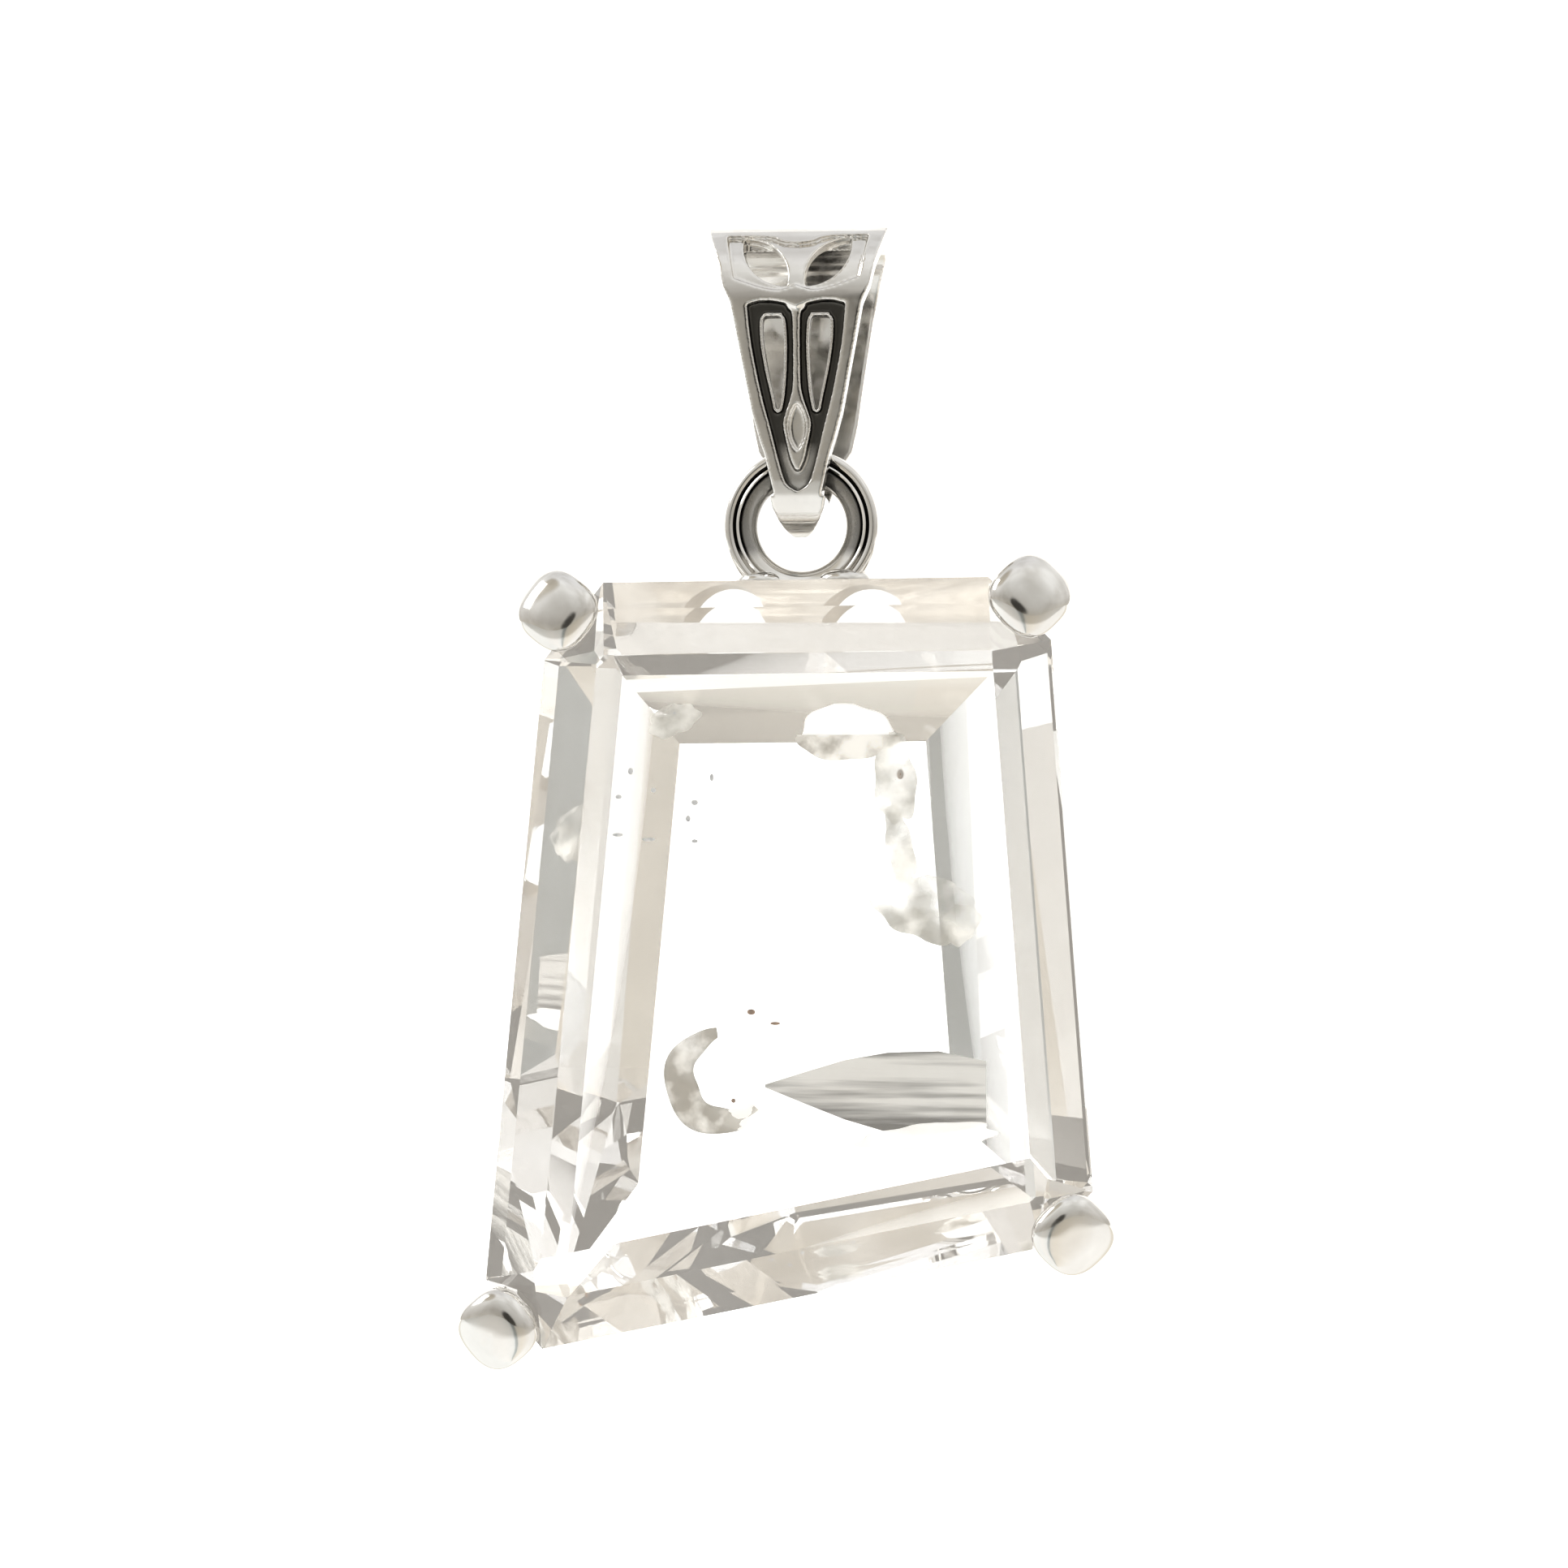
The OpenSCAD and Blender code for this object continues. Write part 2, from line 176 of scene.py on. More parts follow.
def smooth_shading(obj):
    """Smooth faces with a crisp line wherever they meet at more than SHARP_ANGLE."""
    for polygon in obj.data.polygons:
        polygon.use_smooth = True
    obj.data.set_sharp_from_angle(angle=math.radians(SHARP_ANGLE))


# Outline of the stone


def unit(v):
    return v / np.linalg.norm(v)


def girdle_points():
    """The eight points of the girdle in the front view: [x, z]. Even edges, from one
    point to the next, are the cut corners, and odd edges are the sides."""
    points = []
    for i, (x, z, before, after) in enumerate(CORNERS):
        here = np.array((x, z))
        last = np.array(CORNERS[i - 1][:2])
        following = np.array(CORNERS[(i + 1) % 4][:2])
        points.append(here + unit(last - here) * before)
        points.append(here + unit(following - here) * after)
    return points


GIRDLE = girdle_points()


def along(i):
    """Direction of edge i."""
    return unit(GIRDLE[(i + 1) % 8] - GIRDLE[i % 8])


def inward(i):
    """Direction from edge i towards the middle of the stone."""
    a = along(i)
    return np.array((a[1], -a[0]))


def edge_middle(i):
    return (GIRDLE[i] + GIRDLE[(i + 1) % 8]) / 2


def even(inset):
    """The same inset at all four sides."""
    return (inset,) * 4


def edge_line(i, sides):
    """Edge i moved in: a side by its own inset, a cut corner by a share of its neighbours'."""
    i %= 8
    if i % 2:
        inset = sides[(i - 1) // 2]
    else:
        inset = CORNER_SHARE * (sides[i // 2 - 1] + sides[i // 2]) / 2
    return GIRDLE[i] + inward(i) * inset, along(i)


def outline(sides):
    """The girdle outline moved in by the insets of its four sides: eight points."""
    points = []
    for i in range(8):
        (p, d), (q, e) = edge_line(i - 1, sides), edge_line(i, sides)
        t = np.linalg.solve(np.array((d, -e)).T, q - p)[0]
        points.append(p + d * t)
    return points


def swept(name, rows):
    """Closed frame through the outlines of the rows [y, insets of the four sides]."""
    verts = [(x, y, z) for y, sides in rows for x, z in outline(sides)]
    count = len(rows)
    faces = []
    for k in range(count):
        a, b = 8 * k, 8 * ((k + 1) % count)
        for j in range(8):
            faces.append((a + j, a + (j + 1) % 8, b + (j + 1) % 8, b + j))
    return make_object(name, verts, faces, smooth=False)


def facet_planes(grow):
    """A point and the outward normal of each facet of the stone, grown a little."""
    rows = [(row[0], [inset - grow for inset in row[1:]]) for row in STONE_ROWS]
    rows[0] = (rows[0][0] - grow, rows[0][1])
    rows[-1] = (rows[-1][0] + grow, rows[-1][1])
    planes = [((0, rows[0][0], 0), (0, -1, 0)), ((0, rows[-1][0], 0), (0, 1, 0))]
    for (y, sides), (next_y, next_sides) in zip(rows, rows[1:]):
        for i in range(8):
            (x, z), (u, v) = edge_line(i, sides)
            far_x, far_z = edge_line(i, next_sides)[0]
            slant = Vector((far_x - x, next_y - y, far_z - z))
            planes.append(((x, y, z), Vector((u, 0, v)).cross(slant)))
    return planes


def stone_copy(grow):
    """Solid a little larger than the stone, cut facet by facet from a block."""
    block = bmesh.new()
    bmesh.ops.create_cube(block, size=BLOCK)
    for point, normal in facet_planes(grow):
        geometry = block.verts[:] + block.edges[:] + block.faces[:]
        cut = bmesh.ops.bisect_plane(
            block, geom=geometry, plane_co=point, plane_no=normal, clear_outer=True
        )
        rim = [edge for edge in cut["geom_cut"] if isinstance(edge, bmesh.types.BMEdge)]
        bmesh.ops.edgeloop_fill(block, edges=rim)
    mesh = bpy.data.meshes.new("seat_cutter")
    bmesh.ops.recalc_face_normals(block, faces=block.faces)
    block.to_mesh(mesh)
    block.free()
    cutter = bpy.data.objects.new("seat_cutter", mesh)
    bpy.context.scene.collection.objects.link(cutter)
    return cutter


# Materials


def new_material(name):
    material = bpy.data.materials.new(name)
    material.use_nodes = True
    tree = material.node_tree
    shader = tree.nodes["Principled BSDF"]
    return material, tree, shader


def add_noise(tree, scale, detail, vector):
    node = tree.nodes.new("ShaderNodeTexNoise")
    node.inputs["Scale"].default_value = scale
    node.inputs["Detail"].default_value = detail
    tree.links.new(vector, node.inputs["Vector"])
    return node.outputs["Fac"]


def add_ramp(tree, value, stops):
    node = tree.nodes.new("ShaderNodeValToRGB")
    ramp = node.color_ramp
    while len(ramp.elements) < len(stops):
        ramp.elements.new(0.5)
    for element, (position, colour) in zip(ramp.elements, stops):
        element.position = position
        element.color = (*colour, 1.0)
    tree.links.new(value, node.inputs["Fac"])
    return node.outputs["Color"]


def add_range(tree, value, low, high):
    """Where a value lies between low and high, 0 to 1."""
    node = tree.nodes.new("ShaderNodeMapRange")
    node.inputs["From Min"].default_value = low
    node.inputs["From Max"].default_value = high
    tree.links.new(value, node.inputs["Value"])
    return node.outputs["Result"]


def add_math(tree, operation, first, second):
    node = tree.nodes.new("ShaderNodeMath")
    node.operation = operation
    for socket, value in zip(node.inputs, (first, second)):
        if isinstance(value, (int, float)):
            socket.default_value = value
        else:
            tree.links.new(value, socket)
    return node.outputs["Value"]


def multiply_colours(tree, first, second):
    mix = tree.nodes.new("ShaderNodeMix")
    mix.data_type = "RGBA"
    mix.blend_type = "MULTIPLY"
    mix.inputs["Factor"].default_value = 1.0
    colours = [socket for socket in mix.inputs if socket.type == "RGBA"]
    tree.links.new(first, colours[0])
    tree.links.new(second, colours[1])
    return [socket for socket in mix.outputs if socket.type == "RGBA"][0]


def add_bump(tree, height, distance, strength, shader):
    node = tree.nodes.new("ShaderNodeBump")
    node.inputs["Distance"].default_value = distance
    node.inputs["Strength"].default_value = strength
    tree.links.new(height, node.inputs["Height"])
    tree.links.new(node.outputs["Normal"], shader.inputs["Normal"])


def object_coordinates(tree):
    return tree.nodes.new("ShaderNodeTexCoord").outputs["Object"]


def grey(value):
    return (value,) * 3


# Scales of the noise for the silver's tone, wear and ripples, in waves to the metre
TONE_SCALE, WEAR_SCALE, RIPPLE_SCALE = 700, 2500, 900
# Tones of a material: [place in the noise, colour]
SILVER_TONES = ((0.3, (0.70, 0.68, 0.65)), (0.7, (0.79, 0.78, 0.755)))


def silver_material(name, wave, gloss, tones=SILVER_TONES):
    """Polished silver: casting ripples of height wave in mm, fine wear between the two
    roughnesses of gloss, and a slightly warm tone."""
    material, tree, shader = new_material(name)
    where = object_coordinates(tree)
    shader.inputs["Metallic"].default_value = 1.0
    tone = add_noise(tree, TONE_SCALE, 3, where)
    colour = add_ramp(tree, tone, tones)
    tree.links.new(colour, shader.inputs["Base Color"])
    wear = add_noise(tree, WEAR_SCALE, 4, where)
    low, high = gloss
    rough = add_ramp(tree, wear, ((0.35, grey(low)), (0.7, grey(high))))
    tree.links.new(rough, shader.inputs["Roughness"])
    ripple = add_noise(tree, RIPPLE_SCALE, 2, where)
    add_bump(tree, ripple, wave * MM, 1.0, shader)
    return material


# Tones and glows of the silver inside the setting: [place in the noise, colour]. The tones, darker than
# the bright silver's, are painted shade, darkest on the walls of the openings; the glows are painted
# light.
GLOW_SCALE = 350
INSIDE_SHADE_TONES = ((0.3, (0.34, 0.32, 0.29)), (0.7, (0.44, 0.42, 0.38)))
INSIDE_GLOW = ((0.35, (0.36, 0.32, 0.26)), (0.65, (0.50, 0.465, 0.41)))
RIM_SHADE_TONES = ((0.3, (0.16, 0.14, 0.11)), (0.7, (0.26, 0.23, 0.19)))
RIM_GLOW = ((0.35, (0.07, 0.055, 0.035)), (0.65, (0.16, 0.135, 0.10)))


def shaded_inside_material(name, tones, glow):
    """Satin silver that faces the stone, in darker tones that are painted shade. The faint warm
    glow stands for the light that the stone throws on it, which the render leaves out."""
    material = silver_material(name, wave=0.003, gloss=(0.26, 0.38), tones=tones)
    tree = material.node_tree
    shader = tree.nodes["Principled BSDF"]
    patches = add_noise(tree, GLOW_SCALE, 3, object_coordinates(tree))
    light = add_ramp(tree, patches, glow)
    tree.links.new(light, shader.inputs["Emission Color"])
    shader.inputs["Emission Strength"].default_value = 1.0
    return material


# Least part of its normal by which a face looks at the stone or at the back, the most
# that the wall of an opening has, and how far past the opening that wall may lie, mm
LOOKS_AT_STONE, LOOKS_BACK, LOOKS_ALONG = 0.2, 0.3, 0.3
OPENING_MARGIN = 0.05


def dress_inside(obj, inside, rim):
    """Gives the faces that look at the stone one material and the walls of the openings
    another, both in darker tones that are painted shade."""
    obj.data.materials.append(inside)
    obj.data.materials.append(rim)
    for polygon in obj.data.polygons:
        x, y, z = polygon.center / MM
        spans = [inward(i).dot(np.array((x, z)) - GIRDLE[i]) for i in range(8)]
        toward = inward(int(np.argmin(spans)))
        facing = polygon.normal.x * toward[0] + polygon.normal.z * toward[1]
        behind = y > GIRDLE_Y or polygon.normal.y > LOOKS_BACK
        by_opening = abs(y - PIERCE_Y) < PIERCE_HEIGHT / 2 + OPENING_MARGIN
        if facing > LOOKS_AT_STONE and behind:
            polygon.material_index = 1
        elif abs(facing) < LOOKS_ALONG and by_opening:
            polygon.material_index = 2


QUARTZ_IOR = 1.544
QUARTZ_CLEARNESS = 0.95
QUARTZ_TONES = ((0.35, (0.95, 0.94, 0.925)), (0.65, (1.0, 1.0, 0.995)))
QUARTZ_TONE_SCALE, QUARTZ_WEAR_SCALE = 260, 3000
HAZE = (1.0, 0.93, 0.83, 1.0)
HAZE_STRENGTH = 0.035


def quartz_material():
    """Clear quartz with a polish and barely any colour."""
    material, tree, shader = new_material("clear_quartz")
    where = object_coordinates(tree)
    shader.inputs["Transmission Weight"].default_value = QUARTZ_CLEARNESS
    shader.inputs["IOR"].default_value = QUARTZ_IOR
    # Fine haze: each pass through the surface adds a trace of warm light
    shader.inputs["Emission Color"].default_value = HAZE
    shader.inputs["Emission Strength"].default_value = HAZE_STRENGTH
    tone = add_noise(tree, QUARTZ_TONE_SCALE, 4, where)
    colour = add_ramp(tree, tone, QUARTZ_TONES)
    tree.links.new(colour, shader.inputs["Base Color"])
    wear = add_noise(tree, QUARTZ_WEAR_SCALE, 3, where)
    rough = add_ramp(tree, wear, ((0.55, grey(0.0)), (0.85, grey(0.02))))
    tree.links.new(rough, shader.inputs["Roughness"])
    return material


# The paper from the viewer to the backdrop, darker towards the front, with a tan band behind
# the pendant that is a painted shadow, and a glow that is painted light, as if lit from below: [y in
# metres, colour, glow]
PAPER = (
    (-0.140, (0.72, 0.70, 0.665), 0.0),
    (-0.100, (0.90, 0.89, 0.87), 0.35),
    (0.025, (0.90, 0.89, 0.87), 0.35),
    (0.045, (0.90, 0.85, 0.76), 0.0),
    (0.080, (0.90, 0.85, 0.76), 0.0),
    (0.110, (0.93, 0.92, 0.905), 1.0),
)
PAPER_REACH = 0.2
PAPER_GLOW = 0.75
PAPER_SCALE = 60
PAPER_ROUGHNESS = 0.9
# The viewer's soft shadow on it: [azimuth in degrees seen from the pendant, shade]
SHADOW = (
    (-50, (0.95, 0.98, 1.0)),
    (-20, (1.0, 1.0, 1.0)),
    (-2.5, (0.90, 0.92, 0.93)),
    (-0.5, (0.74, 0.78, 0.80)),
    (1, (0.36, 0.40, 0.42)),
    (6.6, (0.30, 0.33, 0.33)),
    (7.2, (0.42, 0.43, 0.41)),
    (7.6, (0.74, 0.71, 0.65)),
    (20, (0.84, 0.79, 0.70)),
    (60, (1.0, 1.0, 1.0)),
)
SHADOW_FROM, SHADOW_TO = -60, 80


def backdrop_material():
    """Pale paper with a painted glow under and behind the pendant, a painted tan shadow behind it, and
    the viewer's soft shadow painted on it.
    """
    material, tree, shader = new_material("pale_floor")
    where = object_coordinates(tree)
    split = tree.nodes.new("ShaderNodeSeparateXYZ")
    tree.links.new(where, split.inputs["Vector"])
    depth = add_range(tree, split.outputs["Y"], -PAPER_REACH, PAPER_REACH)
    places = [(y + PAPER_REACH) / (2 * PAPER_REACH) for y, _, _ in PAPER]
    paper = add_ramp(tree, depth, list(zip(places, [row[1] for row in PAPER])))
    grain = add_noise(tree, PAPER_SCALE, 3, where)
    fibres = add_ramp(tree, grain, ((0.3, grey(0.965)), (0.7, grey(1.0))))
    forward = add_math(tree, "MULTIPLY", split.outputs["Y"], -1)
    azimuth = add_math(tree, "ARCTAN2", split.outputs["X"], forward)
    turn = add_range(tree, azimuth, math.radians(SHADOW_FROM), math.radians(SHADOW_TO))
    span = SHADOW_TO - SHADOW_FROM
    shadow = add_ramp(tree, turn, [((a - SHADOW_FROM) / span, tone) for a, tone in SHADOW])
    colour = multiply_colours(tree, multiply_colours(tree, paper, fibres), shadow)
    tree.links.new(colour, shader.inputs["Base Color"])
    glow = add_ramp(tree, depth, list(zip(places, [grey(row[2]) for row in PAPER])))
    tree.links.new(glow, shader.inputs["Emission Color"])
    shader.inputs["Emission Strength"].default_value = PAPER_GLOW
    shader.inputs["Roughness"].default_value = PAPER_ROUGHNESS
    return material


# Setting


def marquise(length, height, steps=20):
    """Pointed oval round the origin: [along, across]."""
    r = (length**2 + height**2) / (4 * height)
    half = math.asin(length / 2 / r)
    arc = [
        (r * math.sin(a), r * math.cos(a) - r + height / 2)
        for a in np.linspace(-half, half, steps)
    ]
    return arc + [(-u, -v) for u, v in arc[1:-1]]


def opening_cutter(edge, shift):
    """Bar with a pointed oval section, straight through the wall at an edge."""
    a, n = along(edge), inward(edge)
    middle = edge_middle(edge) + a * shift
    verts = []
    for side in CUTTER_SIDES:
        for u, v in marquise(PIERCE_LENGTH, PIERCE_HEIGHT):
            x, z = middle + a * u + n * side
            verts.append((x, PIERCE_Y + v, z))
    count = len(verts) // 2
    faces = [(j, (j + 1) % count, count + (j + 1) % count, count + j) for j in range(count)]
    faces += [tuple(range(count)), tuple(range(count, 2 * count))]
    return make_object("opening_cutter", verts, faces)


def gallery_rows():
    """The wall's section, leant in towards the back, as rows for swept()."""
    return [
        (WALL_FRONT_Y + back, even(WALL_INSET + back * WALL_TAPER / WALL_DEPTH + inset))
        for back, inset in WALL_SECTION
    ]


def build_gallery(material, inside, rim):
    gallery = swept("gallery", gallery_rows())
    for edge, pitch, shift in PIERCED:
        for side in (-0.5, 0.5):
            cut_away(gallery, opening_cutter(edge, shift + side * pitch))
    cut_away(gallery, stone_copy(SEAT_GAP))
    soften(gallery, WALL_EDGE)
    smooth_shading(gallery)
    place(gallery, "drop", "setting_silver", material, "setting")
    dress_inside(gallery, inside, rim)


PRONGS = ("prong_top_left", "prong_top_right", "prong_low_right", "prong_low_left")
PRONG_EDGE = 0.05
# Prong behind the head: [distance behind the girdle, inner side, outer side, half width],
# with the sides measured outward from the cut corner
SHANK = (
    (5.3, -1.20, 0.20, 0.80),
    (3.6, -0.95, 0.62, 0.92),
    (1.8, -0.60, 1.15, 1.04),
    (0.5, -0.45, 1.40, 1.06),
    (-0.15, -0.60, 1.58, 1.10),
)
# Head: how far it rises before the girdle and stands outside the cut corner, half its
# width, and the number of points round it
HEAD_RISE = 1.5
HEAD_OUT = 0.5
HEAD_HALF = 1.24
HEAD_SIDES = 56
# How square it is: 2 gives a circle, and more comes nearer to a square
HEAD_POWER = 2.6
# Rings of points from its edge to its middle, as shares of its width
HEAD_SHARES = (1.0, 0.985, 0.95, 0.9, 0.83, 0.75, 0.66, 0.56, 0.46, 0.36, 0.26, 0.16, 0.06)
# Each head was filed by hand. The spot on each that mirrors the viewer, and so shows
# dark: [u, v], where u points away from the stone and v along the cut corner
HEADS = ((-0.62, -0.04), (-0.56, 0.0), (-0.74, 0.0), (-0.66, 0.0))
# Its top: how strongly it curves across and along, and how far and how suddenly its
# edge falls away
DOME_ACROSS = 0.095
DOME_ALONG = 0.03
DOME_EDGE = 0.48
EDGE_POWER = 3.2
# Small dent in one head: the number of the head, the dent's place, radius and depth
DENTED = 3
DENT_U, DENT_V, DENT_RADIUS, DENT_DEPTH = 0.42, -0.08, 0.13, 0.035
# Slopes are measured over this far to each side
SLOPE_STEP = 0.01


def squarish(count, power):
    """Square with round corners, as a superellipse."""
    points = []
    for k in range(count):
        a = 2 * math.pi * k / count
        c, s = math.cos(a), math.sin(a)
        r = (abs(c) ** power + abs(s) ** power) ** (-1 / power)
        points.append((r * c, r * s))
    return points


def edge_fall(u, v):
    """How far the rounded edge of a head falls away at a point."""
    share = (abs(u) ** HEAD_POWER + abs(v) ** HEAD_POWER) ** (1 / HEAD_POWER) / HEAD_HALF
    return DOME_EDGE * (1 - (1 - min(share, 1.0) ** EDGE_POWER) ** 0.5)


def mirror_slopes(i):
    """Slopes of head i along u and v at its spot, so that it mirrors the viewer."""
    u, v = HEADS[i]
    out, side = -inward(2 * i), along(2 * i)
    x, z = edge_middle(2 * i) + out * (HEAD_OUT + u) + side * v
    turn = math.radians(VIEW_AZIMUTH)
    viewer = Vector((math.sin(turn), -math.cos(turn), 0))
    eye = (VIEW_TARGET + VIEW_DISTANCE * viewer) / MM
    normal = (eye - Vector((x, GIRDLE_Y - HEAD_RISE, z))).normalized() + viewer
    slope = np.array((normal.x, normal.z)) / -normal.y
    step = SLOPE_STEP
    edge_u = (edge_fall(u + step, v) - edge_fall(u - step, v)) / (2 * step)
    edge_v = (edge_fall(u, v + step) - edge_fall(u, v - step)) / (2 * step)
    return slope.dot(out) - edge_u, slope.dot(side) - edge_v


def head_fall(i, u, v, slopes):
    """How far the top of head i lies behind its highest point."""
    slope_u, slope_v = slopes
    du, dv = u - HEADS[i][0], v - HEADS[i][1]
    fall = DOME_ACROSS * du**2 + slope_u * du + DOME_ALONG * dv**2 + slope_v * dv
    fall += slope_u**2 / (4 * DOME_ACROSS) + slope_v**2 / (4 * DOME_ALONG)
    if i == DENTED:
        away = (u - DENT_U) ** 2 + (v - DENT_V) ** 2
        fall += DENT_DEPTH * math.exp(-away / DENT_RADIUS**2)
    return fall + edge_fall(u, v)


def build_prong(i, name, material, inside):
    """Prong at cut corner i: a shank up the wall and a filed head over the stone."""
    middle = edge_middle(2 * i)
    out, side = -inward(2 * i), along(2 * i)
    section = squarish(HEAD_SIDES, HEAD_POWER)
    slopes = mirror_slopes(i)
    verts = []

    def add_ring(points):
        for u, v, y in points:
            x, z = middle + out * u + side * v
            verts.append((x, y, z))

    for back, inner, outer, half in SHANK:
        centre, reach = (inner + outer) / 2, (outer - inner) / 2
        add_ring([(centre + reach * c, half * s, GIRDLE_Y + back) for c, s in section])
    for share in HEAD_SHARES:
        ring = []
        for c, s in section:
            u, v = HEAD_HALF * c * share, HEAD_HALF * s * share
            y = GIRDLE_Y - HEAD_RISE + head_fall(i, u, v, slopes)
            ring.append((HEAD_OUT + u, v, y))
        add_ring(ring)
    rings = len(verts) // HEAD_SIDES
    faces = []
    for k in range(rings - 1):
        for j in range(HEAD_SIDES):
            a, b = k * HEAD_SIDES, (k + 1) * HEAD_SIDES
            n = (j + 1) % HEAD_SIDES
            faces.append((a + j, a + n, b + n, b + j))
    faces.append(tuple(range(HEAD_SIDES)))
    faces.append(tuple(range((rings - 1) * HEAD_SIDES, rings * HEAD_SIDES)))
    prong = make_object(name, verts, faces)
    cut_away(prong, stone_copy(SEAT_GAP))
    soften(prong, PRONG_EDGE)
    smooth_shading(prong)
    place(prong, "drop", "setting_silver", material)
    dress_inside(prong, inside, inside)


def fade(value, start, end):
    """0 up to the start, 1 from the end on, and even between."""
    return np.clip((value - start) / (end - start), 0, 1)


RING_TURNS = 144
# Half of the ring's section: [share of the thickness from the hole, half depth]
RING_SECTION = (
    (0.0, 0.10), (0.02, 0.24), (0.08, 0.34), (0.25, 0.45), (0.40, 0.50), (0.44, 0.47),
    (0.455, 0.40), (0.48, 0.42), (0.51, 0.54), (0.55, 0.565), (0.59, 0.54), (0.62, 0.42),
    (0.645, 0.40), (0.67, 0.45), (0.70, 0.555), (0.76, 0.59), (0.83, 0.595), (0.90, 0.56),
    (0.96, 0.46), (0.99, 0.30), (1.0, 0.10),
)
# Darkening across the ring: [share of the thickness from the hole, oxide]
RING_OXIDE = (
    (0.0, 0.45), (0.2, 0.62), (0.38, 0.55), (0.43, 0.95), (0.48, 0.95), (0.51, 0.0),
    (0.60, 0.0), (0.62, 1.0), (0.66, 1.0), (0.69, 0.0), (1.0, 0.0),
)
# The oxide was polished away below this height, and fades in over this far above it
RING_BARE_Z = RING_Z - HOLE_R * 0.75
RING_FADE = 0.35


def ring_oxide(x, y, z):
    share = (np.hypot(x, z - RING_Z) - HOLE_R) / RING_T
    dark = np.interp(share, *zip(*RING_OXIDE))
    return dark * fade(z, RING_BARE_Z, RING_BARE_Z + RING_FADE)


def build_ring(material):
    half = [(HOLE_R + RING_T * share, depth) for share, depth in RING_SECTION]
    section = half + [(r, -depth) for r, depth in reversed(half)]
    verts = []
    for k in range(RING_TURNS):
        a = 2 * math.pi * k / RING_TURNS
        for r, depth in section:
            verts.append((r * math.sin(a), depth, RING_Z + r * math.cos(a)))
    count = len(section)
    faces = []
    for k in range(RING_TURNS):
        a, b = k * count, ((k + 1) % RING_TURNS) * count
        for j in range(count):
            n = (j + 1) % count
            faces.append((a + j, a + n, b + n, b + j))
    ring = make_object("loop_ring", verts, faces)
    cut_away(ring, stone_copy(SEAT_GAP))
    smooth_shading(ring)
    store_oxide(ring, ring_oxide)
    place(ring, "drop", "setting_silver", material)


# Solder: two blobs where the ring meets the gallery, and a thin web between them:
# [centre, half sizes]
SOLDER = (
    ((-1.35, -0.1, -10.90), (0.85, 0.66, 0.42)),
    ((1.40, -0.1, -10.86), (0.95, 0.70, 0.44)),
    ((0.0, 0.0, -11.15), (1.7, 0.5, 0.42)),
)
# How it is melted together: size of the voxels, strength and rounds of the smoothing
SOLDER_VOXEL = 0.06
SOLDER_FLOW, SOLDER_ROUNDS = 0.6, 12


def ellipsoid(verts, faces, centre, size, rings=16, sides=28):
    """Adds the points and faces of an ellipsoid to the lists."""
    start = len(verts)
    for k in range(rings + 1):
        polar = math.pi * k / rings
        for j in range(sides):
            a = 2 * math.pi * j / sides
            offset = (
                size[0] * math.sin(polar) * math.cos(a),
                size[1] * math.sin(polar) * math.sin(a),
                size[2] * math.cos(polar),
            )
            verts.append(tuple(c + o for c, o in zip(centre, offset)))
    for k in range(rings):
        for j in range(sides):
            a, b = start + k * sides, start + (k + 1) * sides
            n = (j + 1) % sides
            faces.append((a + j, a + n, b + n, b + j))


def melt(obj, voxel, flow, rounds):
    """Rebuilds a solid from voxels and smooths it, so that its parts run together."""
    remesh = obj.modifiers.new("melt", "REMESH")
    remesh.mode = "VOXEL"
    remesh.voxel_size = voxel
    smooth = obj.modifiers.new("flow", "SMOOTH")
    smooth.factor = flow
    smooth.iterations = rounds
    apply_modifiers(obj)


def build_solder(material):
    verts, faces = [], []
    for centre, size in SOLDER:
        ellipsoid(verts, faces, centre, size)
    solder = make_object("solder", verts, faces)
    melt(solder, SOLDER_VOXEL, SOLDER_FLOW, SOLDER_ROUNDS)
    cut_away(solder, stone_copy(SEAT_GAP))
    smooth_shading(solder)
    place(solder, "drop", "setting_silver", material)


# Bail


def slot_depth(y, z):
    """How deep a point lies below the outside of the bail, seen from the side."""
    (z1, r1), (z2, r2) = BAIL_TOP, BAIL_BOTTOM
    lean = math.asin((r1 - r2) / (z1 - z2))
    normal = np.array((math.cos(lean), -math.sin(lean)))
    a = np.array((0.0, z1)) + normal * r1
    y = np.abs(y)
    straight = (y - a[0]) * normal[0] + (z - a[1]) * normal[1]
    top = np.hypot(y, z - z1) - r1
    bottom = np.hypot(y, z - z2) - r2
    outside = np.where(z > z1, top, np.where(z < z2, bottom, straight))
    return -outside


OXIDE = (0.022, 0.021, 0.016, 1)
OXIDE_ROUGHNESS = 0.34


def oxidised_material(name, wave, gloss):
    """Silver that the oxide stored on the mesh darkens, as in deep grooves."""
    material = silver_material(name, wave, gloss)
    tree = material.node_tree
    shader = tree.nodes["Principled BSDF"]
    oxide = tree.nodes.new("ShaderNodeAttribute")
    oxide.attribute_name = "oxide"
    mask = oxide.outputs["Fac"]
    darkened = (("Base Color", "RGBA", OXIDE), ("Roughness", "FLOAT", OXIDE_ROUGHNESS))
    for socket, kind, dark in darkened:
        source = shader.inputs[socket].links[0].from_socket
        mix = tree.nodes.new("ShaderNodeMix")
        mix.data_type = kind
        slots = [s for s in mix.inputs if s.enabled]
        tree.links.new(mask, slots[0])
        tree.links.new(source, slots[1])
        slots[2].default_value = dark
        tree.links.new([s for s in mix.outputs if s.enabled][0], shader.inputs[socket])
    return material


